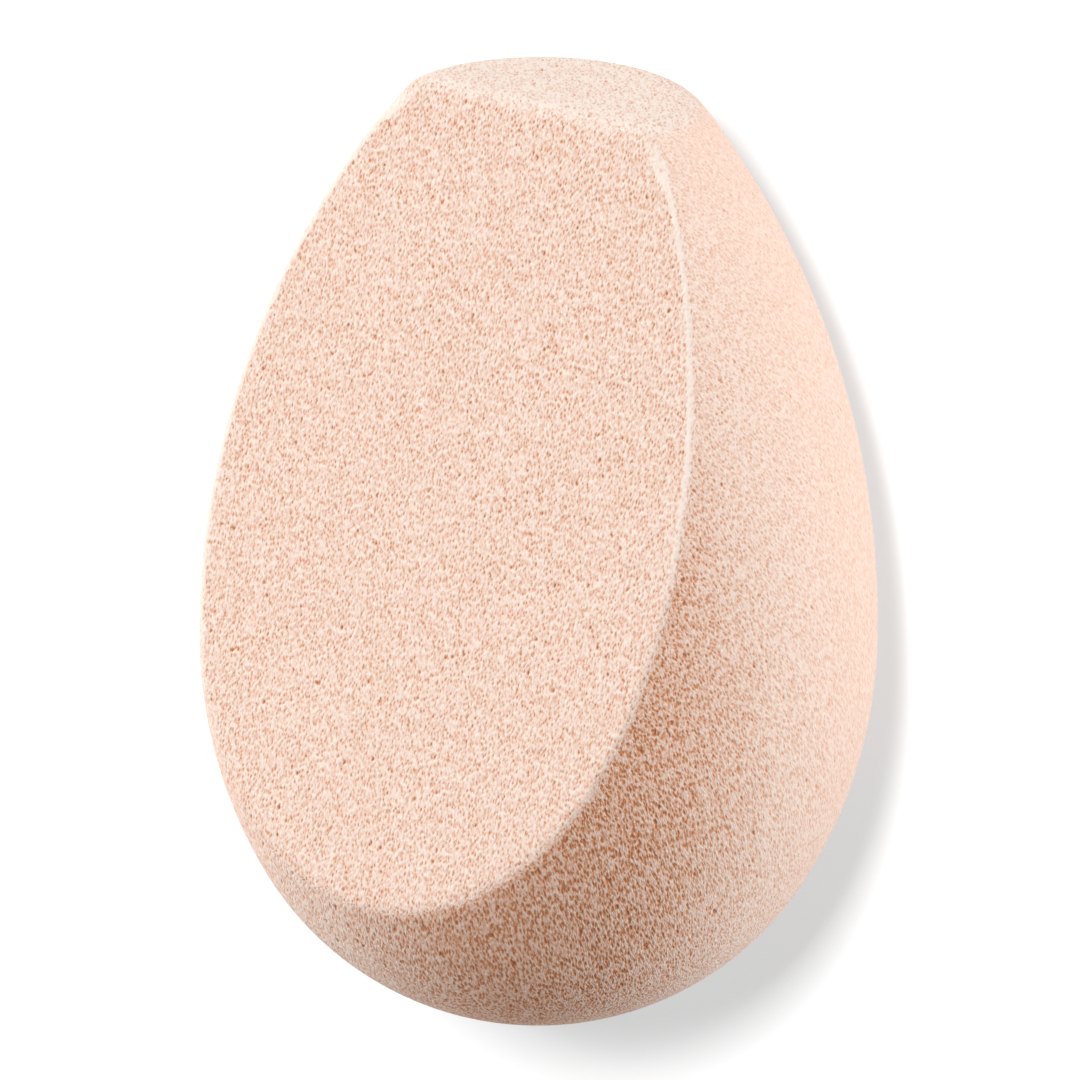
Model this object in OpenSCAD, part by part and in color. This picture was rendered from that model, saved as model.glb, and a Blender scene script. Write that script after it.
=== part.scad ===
// Makeup sponge: one block of fine-celled foam, ground to an egg with a flat tip and
// sliced once, aslant, from the tip down the front to just above the round end.
// It lies on its back on a table, sliced side up, with its tip towards +Y and dipping a
// little, as its weight leaves it. The origin is in the patch that it lies on.

/* [Egg] */
// Length from the round end to the flat tip
sponge_length = 59.6; // [54:0.1:68]
// Widest diameter
belly_d = 42; // [40:0.5:50]
// Distance of the widest section from the round end
belly_from_end = 24.7; // [20.5:0.1:30]
// Radius of the round end
end_r = 19.8; // [15:0.1:20.5]

/* [Flat tip] */
// Diameter of the tip, measured to where flat and flank would meet if the rim were sharp
tip_d = 18.2; // [10:0.1:26]
// Rounding of the rim between the tip's flat and the flank
tip_rim_r = 2.1; // [0.5:0.1:4]

/* [Slanted cut] */
// Angle between the cut and the long axis
cut_angle = 20.8; // [12:0.1:28]
// Distance of the cut from the axis where it meets the flat tip
cut_at_tip = 1.1; // [0:0.1:4]

/* [Lying on its back] */
// Angle by which the tip dips below the level
dip = 4; // [0:0.5:8]
// Depth to which the foam's own weight flattens its back
patch_depth = 0.5; // [0.2:0.05:1.5]

/* [Hidden] */
$fn = 180;

// How far a cutting block passes what it cuts
overrun = 1;
// How far neighbouring arcs reach into each other, so that they cross and don't just touch
bite = 0.001;

belly_r = belly_d / 2;
tip_r = tip_d / 2;

// The outline is three arcs, each lying inside the next and touching it, so that the
// curve never breaks: the round end, the belly below the widest section, and the flank
// above it. Places in the outline are [distance from the axis, height above the end].
belly_arc_r = (belly_r ^ 2 + (belly_from_end - end_r) ^ 2 - end_r ^ 2) / (2 * (belly_r - end_r));
belly_arc_at = [belly_r - belly_arc_r, belly_from_end];
flank_arc_r = ((belly_r - tip_r) ^ 2 + (sponge_length - belly_from_end) ^ 2) / (2 * (belly_r - tip_r));
flank_arc_at = [belly_r - flank_arc_r, belly_from_end];

// Height at which the round end's arc passes into the belly's
end_to_belly = belly_from_end - belly_arc_r * (belly_from_end - end_r) / (belly_arc_r - end_r);

// The rim's arc touches the flank's from inside and the tip's flat from below
rim_height = sponge_length - tip_rim_r;
rim_reach = sqrt((flank_arc_r - tip_rim_r) ^ 2 - (rim_height - belly_from_end) ^ 2);
rim_at = [flank_arc_at[0] + rim_reach, rim_height];
flank_to_rim = belly_from_end + flank_arc_r * (rim_height - belly_from_end) / (flank_arc_r - tip_rim_r);

// The point of the flank's arc that is lowest when the tip dips
rest_point = flank_arc_at + flank_arc_r * [cos(dip), sin(dip)];

// A disc's part between two heights, on the outer side of the axis
module arc_band(centre, r, low, high) {
    intersection() {
        translate(centre) circle(r = r);
        translate([0, low]) square([belly_r + overrun, high - low]);
    }
}

// Half the egg's outline, with the axis at X = 0 and the round end at Y = 0
module egg_outline() {
    arc_band([0, end_r], end_r, -overrun, belly_from_end);
    arc_band(belly_arc_at - [bite, 0], belly_arc_r, end_to_belly, rim_height);
    arc_band(flank_arc_at - [2 * bite, 0], flank_arc_r, belly_from_end, flank_to_rim);
    arc_band(rim_at - [bite, 0], tip_rim_r, belly_from_end, sponge_length + overrun);
    translate([0, belly_from_end])
        square([rim_at[0] - bite, sponge_length - belly_from_end]);
}

// The whole egg, standing on its round end
module egg() {
    rotate_extrude() egg_outline();
}

// Everything in front of the slanted cut, with the egg's front towards -Y
module sliced_off() {
    cut_length = sponge_length / cos(cut_angle);
    translate([-belly_r - overrun, -cut_at_tip, sponge_length])
        rotate([-cut_angle, 0, 0])
            translate([0, -belly_d, -cut_length - overrun])
                cube([belly_d + 2 * overrun, belly_d, cut_length + 2 * overrun]);
}

// Lays what stands on its round end on its back, the patch that it lies on at the origin
module lay_down() {
    translate([0, 0, -patch_depth])
        rotate([-90 - dip, 0, 0])
            translate([0, -rest_point[0], -rest_point[1]])
                children();
}

// The thin slice of the back that flattens on the table
module flattened() {
    translate([-belly_r, -sponge_length / 2, -patch_depth - overrun])
        cube([belly_d, sponge_length, patch_depth + overrun]);
}

module foam_body() {
    color("#f5d6c5")
        difference() {
            lay_down()
                difference() {
                    egg();
                    sliced_off();
                }
            flattened();
        }
}

foam_body();
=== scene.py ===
import math

import bmesh
import bpy
from mathutils import Matrix, Vector


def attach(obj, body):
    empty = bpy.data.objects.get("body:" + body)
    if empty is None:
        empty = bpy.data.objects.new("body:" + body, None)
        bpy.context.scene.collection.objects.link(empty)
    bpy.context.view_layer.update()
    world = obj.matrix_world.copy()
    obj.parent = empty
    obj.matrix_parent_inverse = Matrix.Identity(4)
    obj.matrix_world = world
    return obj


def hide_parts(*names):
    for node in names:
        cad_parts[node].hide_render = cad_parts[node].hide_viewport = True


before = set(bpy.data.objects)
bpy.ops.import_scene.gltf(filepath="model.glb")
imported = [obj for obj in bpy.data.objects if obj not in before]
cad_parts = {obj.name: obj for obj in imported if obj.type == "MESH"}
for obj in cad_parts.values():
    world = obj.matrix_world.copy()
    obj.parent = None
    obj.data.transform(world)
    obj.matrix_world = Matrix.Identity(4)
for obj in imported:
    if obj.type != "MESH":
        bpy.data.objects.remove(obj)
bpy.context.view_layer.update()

# The foam body. The real sponge is one block of fine-celled, open-cell polyurethane foam. It is
# ground to an egg with a flat tip, and then sliced once, aslant, down its front. It lies on its
# back, on the small patch that its weight flattens.
mm = 0.001

length = 59.6 * mm
belly_r = 21 * mm
belly_height = 24.7 * mm
end_r = 19.8 * mm
tip_r = 9.1 * mm
rim_r = 2.1 * mm
cut_angle = math.radians(20.8)
cut_at_tip = 1.1 * mm
dip = math.radians(4)
patch_depth = 0.5 * mm

# The outline's arcs touch where the line through their centres meets them
belly_arc_r = (belly_r**2 + (belly_height - end_r) ** 2 - end_r**2) / (2 * (belly_r - end_r))
flank_arc_r = ((belly_r - tip_r) ** 2 + (length - belly_height) ** 2) / (2 * (belly_r - tip_r))
end_centre = Vector((0, 0, end_r))
belly_centre = Vector((belly_r - belly_arc_r, 0, belly_height))
flank_centre = Vector((belly_r - flank_arc_r, 0, belly_height))
rim_rise = length - rim_r - belly_height
rim_reach = math.sqrt((flank_arc_r - rim_r) ** 2 - rim_rise**2)
rim_centre = flank_centre + Vector((rim_reach, 0, rim_rise))
end_to_belly = math.atan2(end_r - belly_height, belly_arc_r - belly_r)
flank_to_rim = math.atan2(rim_rise, rim_reach)

# Each arc as its centre and the angle that it turns through, from the round end's pole on
outline = [
    (end_centre, math.pi / 2 + end_to_belly),
    (belly_centre, -end_to_belly),
    (flank_centre, flank_to_rim),
    (rim_centre, math.pi / 2 - flank_to_rim),
]
arc_steps_per_turn = 720
round_steps = 360

bm = bmesh.new()
last = bmesh.ops.create_vert(bm, co=(0, 0, 0))["vert"]
for centre, turn in outline:
    steps = math.ceil(arc_steps_per_turn * turn / math.tau)
    arc = bmesh.ops.spin(bm, geom=last, cent=centre, axis=(0, -1, 0), angle=turn, steps=steps)
    last = [v for v in arc["geom_last"] if isinstance(v, bmesh.types.BMVert)]
tip_edge = bmesh.ops.extrude_vert_indiv(bm, verts=last)["verts"]
for vert in tip_edge:
    vert.co.x = 0
bmesh.ops.spin(
    bm, geom=bm.verts[:] + bm.edges[:], cent=(0, 0, 0), axis=(0, 0, 1),
    angle=math.tau, steps=round_steps, use_merge=True,
)
bmesh.ops.remove_doubles(bm, verts=bm.verts, dist=0.001 * mm)


def slice_off(bm, place, outward):
    """Cuts off what lies outward of a plane through place and closes the cut with one face."""
    everything = bm.verts[:] + bm.edges[:] + bm.faces[:]
    cut = bmesh.ops.bisect_plane(
        bm, geom=everything, plane_co=place, plane_no=outward, clear_outer=True
    )["geom_cut"]
    bmesh.ops.contextual_create(bm, geom=[e for e in cut if isinstance(e, bmesh.types.BMEdge)])


cut_place = Vector((0, -cut_at_tip, length))
cut_outward = Vector((0, -math.cos(cut_angle), math.sin(cut_angle)))
slice_off(bm, cut_place, cut_outward)

# Lying down puts the flank's lowest point under the origin
rest_point = flank_centre + flank_arc_r * Vector((math.cos(dip), 0, math.sin(dip)))
lie_down = (
    Matrix.Translation((0, 0, -patch_depth))
    @ Matrix.Rotation(-math.pi / 2 - dip, 4, "X")
    @ Matrix.Translation((0, -rest_point.x, -rest_point.z))
)
bmesh.ops.transform(bm, matrix=lie_down, verts=bm.verts)
slice_off(bm, Vector((0, 0, 0)), Vector((0, 0, -1)))
bmesh.ops.recalc_face_normals(bm, faces=bm.faces)
mesh = bpy.data.meshes.new("foam_body")
bm.to_mesh(mesh)
bm.free()
foam = bpy.data.objects.new("sponge_foam", mesh)
bpy.context.scene.collection.objects.link(foam)


def bake_modifiers(piece):
    """Puts what a piece's modifiers make of it into its mesh."""
    ready = piece.evaluated_get(bpy.context.evaluated_depsgraph_get())
    made = bpy.data.meshes.new_from_object(ready)
    piece.modifiers.clear()
    piece.data = made


# Even faces all over, fine enough to carry the cells. Each round of smoothing moves a point to
# between its neighbours, so that an edge gets rounded over the root of that many faces.
face_size = 0.15 * mm
edge_softness = 0.47 * mm
remesh = foam.modifiers.new("even_faces", "REMESH")
remesh.mode = "VOXEL"
remesh.voxel_size = face_size
soften = foam.modifiers.new("soft_edges", "SMOOTH")
soften.factor = 0.5
soften.iterations = round((edge_softness / face_size) ** 2)
bake_modifiers(foam)


def add(tree, kind, inputs=(), **settings):
    """Adds a node with its settings. Each input takes a value, another node's socket, or
    another node, which then stands for the first of its outputs that is in use."""
    node = tree.nodes.new(kind)
    for name, value in settings.items():
        setattr(node, name, value)
    for name, value in dict(inputs).items():
        if isinstance(value, bpy.types.Node):
            value = next(socket for socket in value.outputs if socket.enabled)
        if isinstance(value, bpy.types.NodeSocket):
            tree.links.new(value, node.inputs[name])
        else:
            node.inputs[name].default_value = value
    return node


# Foam cells are drawn out the way that the foam rose, which is nearly along the sponge. On the
# cut and on the tip they are drawn out less, and the way that the blade and the grinding went.
rise = Vector((0.16, 0.89, 0.42))
cut_facing = lie_down.to_3x3() @ cut_outward
cut_level = (lie_down @ cut_place).dot(cut_facing)
along_cut = Vector((0, 0.91, -0.42))
tip_facing = lie_down.to_3x3() @ Vector((0, 0, 1))
tip_level = (lie_down @ Vector((0, 0, length))).dot(tip_facing)
across_tip = Vector((0.6, 0.06, 0.8))

# Each flat as the way that it faces, its level on that way, the way that its cells are drawn out
# and the share of the flank's stretch that they have there
flats = [(cut_facing, cut_level, along_cut, 0.6), (tip_facing, tip_level, across_tip, 0.9)]
flat_depth = 0.3 * mm


def turned_and_shrunk(tree, place, way, stretch):
    """A place turned so that the way given is its Y, and then shrunk along that Y."""
    turn = way.rotation_difference(Vector((0, 1, 0))).to_euler()
    turned = add(
        tree, "ShaderNodeVectorRotate", {"Vector": place, "Rotation": turn},
        rotation_type="EULER_XYZ",
    )
    return add(
        tree, "ShaderNodeVectorMath", {0: turned, 1: (1, 1 / stretch, 1)}, operation="MULTIPLY"
    )


def drawn_out(tree, place, stretch):
    """A place for a round pattern, which comes out drawn out there as the foam's cells are."""
    drawn = turned_and_shrunk(tree, place, rise, stretch)
    for facing, level, way, share in flats:
        height = add(
            tree, "ShaderNodeVectorMath", {0: place, 1: facing}, operation="DOT_PRODUCT"
        )
        on_flat = add(
            tree, "ShaderNodeMath", {0: height, 1: level - flat_depth}, operation="GREATER_THAN"
        )
        here = turned_and_shrunk(tree, place, way, stretch * share)
        drawn = add(tree, "ShaderNodeMix", {0: on_flat, 4: drawn, 5: here}, data_type="VECTOR")
    return drawn


pit_size = 0.40 * mm
pit_stretch = 2.2
pit_depth = 0.10 * mm


def opened_pits(tree, place):
    """The cells that the blade or the grinding opened: 1 in a pit's middle, 0 between pits.
    About four cells in ten stay too small to see, and the others differ in size."""
    place = drawn_out(tree, place, pit_stretch)
    cells = add(tree, "ShaderNodeTexVoronoi", {"Vector": place, "Scale": 1 / pit_size})
    chance = add(tree, "ShaderNodeSeparateXYZ", {0: cells.outputs["Color"]})
    reach = add(
        tree, "ShaderNodeMapRange",
        {"Value": chance, "From Min": 0.4, "To Min": 0.1, "To Max": 0.45},
    )
    share = add(
        tree, "ShaderNodeMath", {0: cells.outputs["Distance"], 1: reach}, operation="DIVIDE"
    )
    return add(
        tree, "ShaderNodeMapRange",
        {"Value": share, "From Min": 0.15, "From Max": 1, "To Min": 1, "To Max": 0},
        interpolation_type="SMOOTHSTEP",
    )


# The cells differ by place. The blade left the cut evenly open, the flank is more open the
# higher it stands, partly as painted light raking its upper part, and the tip is ground fine and
# paler, the paleness partly painted light from above. The tone paints shade high on the right
# flank under the cut's edge and light low on it by the table, and a painted highlight runs along
# the cut's edge. How open and how deep in tone the foam is there goes into two attributes.
relief = bpy.data.node_groups.new("opened_cells", "GeometryNodeTree")
relief.interface.new_socket("Geometry", in_out="INPUT", socket_type="NodeSocketGeometry")
relief.interface.new_socket("Geometry", in_out="OUTPUT", socket_type="NodeSocketGeometry")
body = add(relief, "NodeGroupInput")
place = add(relief, "GeometryNodeInputPosition")
outward = add(relief, "GeometryNodeInputNormal")
axes = add(relief, "ShaderNodeSeparateXYZ", {0: place})

# The cut, the tip and the right side, each from 0 off it to 1 on it
from_cut = add(
    relief, "ShaderNodeVectorMath", {0: place, 1: cut_facing}, operation="DOT_PRODUCT"
)
on_cut = add(
    relief, "ShaderNodeMapRange",
    {"Value": from_cut, "From Min": cut_level - 0.45 * mm, "From Max": cut_level - 0.15 * mm},
    interpolation_type="SMOOTHSTEP",
)
from_tip = add(
    relief, "ShaderNodeVectorMath", {0: place, 1: tip_facing}, operation="DOT_PRODUCT"
)
on_tip = add(
    relief, "ShaderNodeMapRange",
    {"Value": from_tip, "From Min": tip_level - 0.8 * mm, "From Max": tip_level - 0.05 * mm},
    interpolation_type="SMOOTHSTEP",
)
right_side = add(
    relief, "ShaderNodeMapRange",
    {"Value": axes.outputs["X"], "From Min": -4 * mm, "From Max": 8 * mm},
    interpolation_type="SMOOTHSTEP",
)

# The cut's edge is where the surface starts to turn away from the cut; a pale painted highlight
# runs along it. It fades out down its right side, which is worn round, and stops short of the
# tip.
facing_cut = add(
    relief, "ShaderNodeVectorMath", {0: outward, 1: cut_facing}, operation="DOT_PRODUCT"
)
edge_starts = add(
    relief, "ShaderNodeMapRange", {"Value": facing_cut, "From Min": 0.6, "From Max": 0.85},
    interpolation_type="SMOOTHSTEP",
)
edge_ends = add(
    relief, "ShaderNodeMapRange",
    {"Value": facing_cut, "From Min": 0.997, "From Max": 0.99997, "To Min": 1, "To Max": 0},
    interpolation_type="SMOOTHSTEP",
)
fading_back = (-0.43, 1, 0)
up_the_edge = add(
    relief, "ShaderNodeVectorMath", {0: place, 1: fading_back}, operation="DOT_PRODUCT"
)
highlight_shows = add(
    relief, "ShaderNodeMapRange",
    {"Value": up_the_edge, "From Min": -4 * mm, "From Max": 10 * mm},
    interpolation_type="SMOOTHSTEP",
)
short_of_tip = add(
    relief, "ShaderNodeMapRange",
    {"Value": from_tip, "From Min": tip_level - 1.8 * mm, "From Max": tip_level - 0.6 * mm,
     "To Min": 1, "To Max": 0},
)
on_edge = edge_starts
for share in (edge_ends, highlight_shows, short_of_tip):
    on_edge = add(relief, "ShaderNodeMath", {0: on_edge, 1: share}, operation="MULTIPLY")

# How open the cells are, from 0 for closed
low_openness = 0.42
high_openness = 1.05
cut_openness = 0.95
tip_openness = 0.92
left_share = 0.8
edge_share = 0.7
# The flank's grain grows with height: partly painted light, standing for the light that rakes
# the upper flank, with weaker grain low down where the table's light fills the cells
flank_openness = add(
    relief, "ShaderNodeMapRange",
    {"Value": axes.outputs["Z"], "From Min": 16 * mm, "From Max": 33 * mm,
     "To Min": low_openness, "To Max": high_openness},
)
left_openness = add(
    relief, "ShaderNodeMath", {0: flank_openness, 1: left_share}, operation="MULTIPLY"
)
openness = add(relief, "ShaderNodeMix", {0: right_side, 2: left_openness, 3: flank_openness})
openness = add(relief, "ShaderNodeMix", {0: on_cut, 2: openness, 3: cut_openness})
openness = add(relief, "ShaderNodeMix", {0: on_tip, 2: openness, 3: tip_openness})
# Less grain on the painted highlight along the cut's edge
edge_openness = add(relief, "ShaderNodeMath", {0: openness, 1: edge_share}, operation="MULTIPLY")
openness = add(relief, "ShaderNodeMix", {0: on_edge, 2: openness, 3: edge_openness})

# How deep the tone is, from 0 for cream to 1 for brown
plain_shade = 0.4
low_shade = 0.37
high_shade = 0.73
cut_shade = 0.42
tip_shade = 0.2
painted_edge_highlight = 0.42
# On the right side the tone by height is painted light and shade: browner high up, as painted
# shade under the cut's edge, and a little paler low down, as painted light from the table
flank_painted_shade = add(
    relief, "ShaderNodeMapRange",
    {"Value": axes.outputs["Z"], "From Min": 22 * mm, "From Max": 35 * mm,
     "To Min": low_shade, "To Max": high_shade},
    interpolation_type="SMOOTHSTEP",
)
shade = add(relief, "ShaderNodeMix", {0: right_side, 2: plain_shade, 3: flank_painted_shade})
shade = add(relief, "ShaderNodeMix", {0: on_cut, 2: shade, 3: cut_shade})
# The tip's paler tone is partly its ground surface and partly painted light from the lamp above
# it
shade = add(relief, "ShaderNodeMix", {0: on_tip, 2: shade, 3: tip_shade})
# The painted highlight along the cut's edge: a paler tone there
shade = add(
    relief, "ShaderNodeMath", {0: on_edge, 1: -painted_edge_highlight, 2: shade}, operation="MULTIPLY_ADD"
)

# Handling has worn the cut's edge round at its low end, and some of the way at the tip
worn_softness = 1 * mm
worn_at_tip = 0.35
near_tip = add(
    relief, "ShaderNodeMapRange",
    {"Value": from_tip, "From Min": tip_level - 3 * mm, "From Max": tip_level - 1.5 * mm},
)
low_on_cut = add(
    relief, "ShaderNodeMapRange",
    {"Value": axes.outputs["Y"], "From Min": -4 * mm, "From Max": -14 * mm},
)
worn = add(
    relief, "ShaderNodeMath", {0: near_tip, 1: worn_at_tip, 2: low_on_cut},
    operation="MULTIPLY_ADD",
)
worn_place = add(
    relief, "GeometryNodeBlurAttribute",
    {"Value": place, "Iterations": round((worn_softness / face_size) ** 2), "Weight": worn},
    data_type="FLOAT_VECTOR",
)
soft = add(relief, "GeometryNodeSetPosition", {"Geometry": body, "Position": worn_place})

# The attributes for the material, with each point's place before it is worn and pitted
for name, kind, value in (
    ("as_cut", "FLOAT_VECTOR", place), ("openness", "FLOAT", openness), ("shade", "FLOAT", shade)
):
    soft = add(
        relief, "GeometryNodeStoreNamedAttribute",
        {"Geometry": soft, "Name": name, "Value": value}, data_type=kind,
    )

# The pits go in as real relief
pits = opened_pits(relief, place)
depth = add(relief, "ShaderNodeMath", {0: pits, 1: openness}, operation="MULTIPLY")
depth = add(relief, "ShaderNodeMath", {0: depth, 1: -pit_depth}, operation="MULTIPLY")
shift = add(relief, "ShaderNodeVectorMath", {0: outward, "Scale": depth}, operation="SCALE")
pitted = add(relief, "GeometryNodeSetPosition", {"Geometry": soft, "Offset": shift})
add(relief, "NodeGroupOutput", {0: pitted})
pitting = foam.modifiers.new("opened_cells", "NODES")
pitting.node_group = relief
bake_modifiers(foam)


def linear(hex_colour):
    """An sRGB hex colour as linear red, green, blue and alpha."""
    parts = [int(hex_colour[i : i + 2], 16) / 255 for i in (1, 3, 5)]
    return [c / 12.92 if c <= 0.04045 else ((c + 0.055) / 1.055) ** 2.4 for c in parts] + [1]


# Matt, dry polyurethane foam in a pale peach: cream on the webs, orange brown down in the cells,
# where light gets out only after it has gone through more foam. The webs inside a cell are finer
# than the render shows, so their grain is drawn at the finest size that still shows.
cell_size = 0.18 * mm
cell_stretch = 3.0
grain_size = 0.10 * mm
grain_stretch = 3.2
pit_tone = 0.42
web_tone = 0.26
grain_tone = 0.64
tones = ["#FFEFE3", "#FBE4D6", "#F5D3C2", "#ECBBA0", "#DB9B72", "#C67B52"]
tone_height = 0.07 * mm

skin = bpy.data.materials.new("open_cell_polyurethane_foam")
skin.use_nodes = True
tree = skin.node_tree
shader = tree.nodes["Principled BSDF"]
as_cut = add(tree, "ShaderNodeAttribute", attribute_name="as_cut").outputs["Vector"]
openness = add(tree, "ShaderNodeAttribute", attribute_name="openness").outputs["Fac"]
shade = add(tree, "ShaderNodeAttribute", attribute_name="shade").outputs["Fac"]

place = drawn_out(tree, as_cut, cell_stretch)
cells = add(tree, "ShaderNodeTexVoronoi", {"Vector": place, "Scale": 1 / cell_size})
webs = add(
    tree, "ShaderNodeMapRange",
    {"Value": cells.outputs["Distance"], "From Min": 0.1, "From Max": 0.75,
     "To Min": web_tone, "To Max": -web_tone},
    interpolation_type="SMOOTHSTEP",
)
place = drawn_out(tree, as_cut, grain_stretch)
grain = add(
    tree, "ShaderNodeTexNoise",
    {"Vector": place, "Scale": 1 / grain_size, "Detail": 1.0, "Roughness": 0.6},
)
flecks = add(
    tree, "ShaderNodeMapRange", {"Value": grain, "To Min": grain_tone, "To Max": -grain_tone}
)
pits = opened_pits(tree, as_cut)
deep = add(tree, "ShaderNodeMath", {0: pits, 1: pit_tone, 2: webs}, operation="MULTIPLY_ADD")
deep = add(tree, "ShaderNodeMath", {0: deep, 1: flecks}, operation="ADD")
deep = add(tree, "ShaderNodeMath", {0: deep, 1: openness}, operation="MULTIPLY")
depth = add(tree, "ShaderNodeMath", {0: deep, 1: shade}, operation="ADD")
tone = add(tree, "ShaderNodeValToRGB", {"Fac": depth})
stops = tone.color_ramp.elements
stops[0].color = linear(tones[0])
stops[1].color = linear(tones[-1])
for i, colour in enumerate(tones[1:-1], start=1):
    stops.new(i / (len(tones) - 1)).color = linear(colour)
bump = add(tree, "ShaderNodeBump", {"Height": deep, "Distance": tone_height}, invert=True)
tree.links.new(tone.outputs["Color"], shader.inputs["Base Color"])
tree.links.new(bump.outputs["Normal"], shader.inputs["Normal"])
shader.inputs["Roughness"].default_value = 0.95
shader.inputs["Specular IOR Level"].default_value = 0.2
foam.data.materials.clear()
foam.data.materials.append(skin)
for face in foam.data.polygons:
    face.use_smooth = True

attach(foam, "root")
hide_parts("foam_body")

# The floor: matt white acrylic that light shines up through, as on a product photographer's
# table. The camera sees it white but for the shadow round the sponge.
floor_half = 3
bm = bmesh.new()
bmesh.ops.create_grid(bm, x_segments=1, y_segments=1, size=floor_half)
mesh = bpy.data.meshes.new("floor")
bm.to_mesh(mesh)
bm.free()
floor = bpy.data.objects.new("floor", mesh)
bpy.context.scene.collection.objects.link(floor)


def seen_directly(tree):
    """1 for the rays that show a surface itself, 0 for those that only carry its light on."""
    rays = add(tree, "ShaderNodeLightPath").outputs
    seen = rays["Is Camera Ray"]
    for kind in ("Is Glossy Ray", "Is Transmission Ray"):
        seen = add(tree, "ShaderNodeMath", {0: seen, 1: rays[kind]}, operation="ADD")
    return seen


own_white = 0.25
glow = 0.31
glow_seen_near = 0.62
near = 50 * mm
far = 120 * mm
acrylic = bpy.data.materials.new("matt_white_acrylic")
acrylic.use_nodes = True
tree = acrylic.node_tree
tree.nodes.clear()
place = add(tree, "ShaderNodeTexCoord").outputs["Object"]
away = add(tree, "ShaderNodeVectorMath", {0: place}, operation="LENGTH")
looks = add(
    tree, "ShaderNodeMapRange",
    {"Value": away, "From Min": near, "From Max": far, "To Min": glow_seen_near, "To Max": 1},
    interpolation_type="SMOOTHSTEP",
)
strength = add(tree, "ShaderNodeMix", {0: seen_directly(tree), 2: glow, 3: looks})
shining = add(tree, "ShaderNodeEmission", {"Color": (1, 1, 1, 1), "Strength": strength})
matt = add(tree, "ShaderNodeBsdfDiffuse", {"Color": (own_white, own_white, own_white, 1)})
both = add(tree, "ShaderNodeAddShader", {0: matt, 1: shining})
add(tree, "ShaderNodeOutputMaterial", {"Surface": both})
mesh.materials.append(acrylic)

# The white surround, which is only looked at and lights nothing
world = bpy.data.worlds.new("studio")
bpy.context.scene.world = world
world.use_nodes = True
tree = world.node_tree
surround = tree.nodes["Background"]
surround.inputs["Color"].default_value = (1, 1, 1, 1)
tree.links.new(seen_directly(tree).outputs["Value"], surround.inputs["Strength"])


# The lamps are soft boxes a metre away. Four of them light the sponge, and one the table
# alone, as flags and a lit table do in the studio, so that the sponge throws one short shadow.
aim = Vector((0, 0, 20 * mm))


def soft_box(name, azimuth, elevation, size, level, lit):
    """A square lamp turned to the sponge, from an azimuth and elevation in degrees. Its level
    is how bright white turned to it renders."""
    around = math.radians(azimuth)
    up = math.radians(elevation)
    back = Vector((
        math.sin(around) * math.cos(up), -math.cos(around) * math.cos(up), math.sin(up)
    ))
    lamp = bpy.data.lights.new(name, "AREA")
    lamp.size = size
    lamp.energy = level * math.pi**2
    stand = bpy.data.objects.new(name, lamp)
    stand.rotation_mode = "QUATERNION"
    stand.rotation_quaternion = back.to_track_quat("Z", "Y")
    stand.location = aim + back
    stand.visible_camera = False
    bpy.context.scene.collection.objects.link(stand)
    stand.light_linking.receiver_collection = bpy.data.collections.new(name)
    stand.light_linking.receiver_collection.objects.link(lit)


soft_box("key", 279, 36, 0.6, 0.69, foam)
soft_box("top", 213, 45, 0.6, 0.67, foam)
soft_box("fill", 129, 7.5, 0.24, 0.36, foam)
soft_box("side", 78, 12, 0.3, 0.32, foam)
soft_box("table", 144, 50, 0.12, 2.5, floor)

# The camera looks at a point on the standing sponge's axis, and lies down with the sponge
see_azimuth = math.radians(36.52)
see_elevation = math.radians(21.73)
see_roll = math.radians(0.61)
see_from = 400 * mm
see_height = 30 * mm
off_centre = Vector((0.04, 0.95)) * mm
camera = bpy.data.cameras.new("camera")
camera.lens = 215.96
camera.sensor_width = 36
camera.clip_start = 50 * mm
view = bpy.data.objects.new("camera", camera)
bpy.context.scene.collection.objects.link(view)
view.matrix_world = (
    lie_down
    @ Matrix.Translation((0, 0, see_height))
    @ Matrix.Rotation(see_azimuth, 4, "Z")
    @ Matrix.Rotation(math.pi / 2 - see_elevation, 4, "X")
    @ Matrix.Rotation(see_roll, 4, "Z")
    @ Matrix.Translation((off_centre.x, off_centre.y, see_from))
)
bpy.context.scene.camera = view
bpy.context.scene.view_settings.view_transform = "Standard"
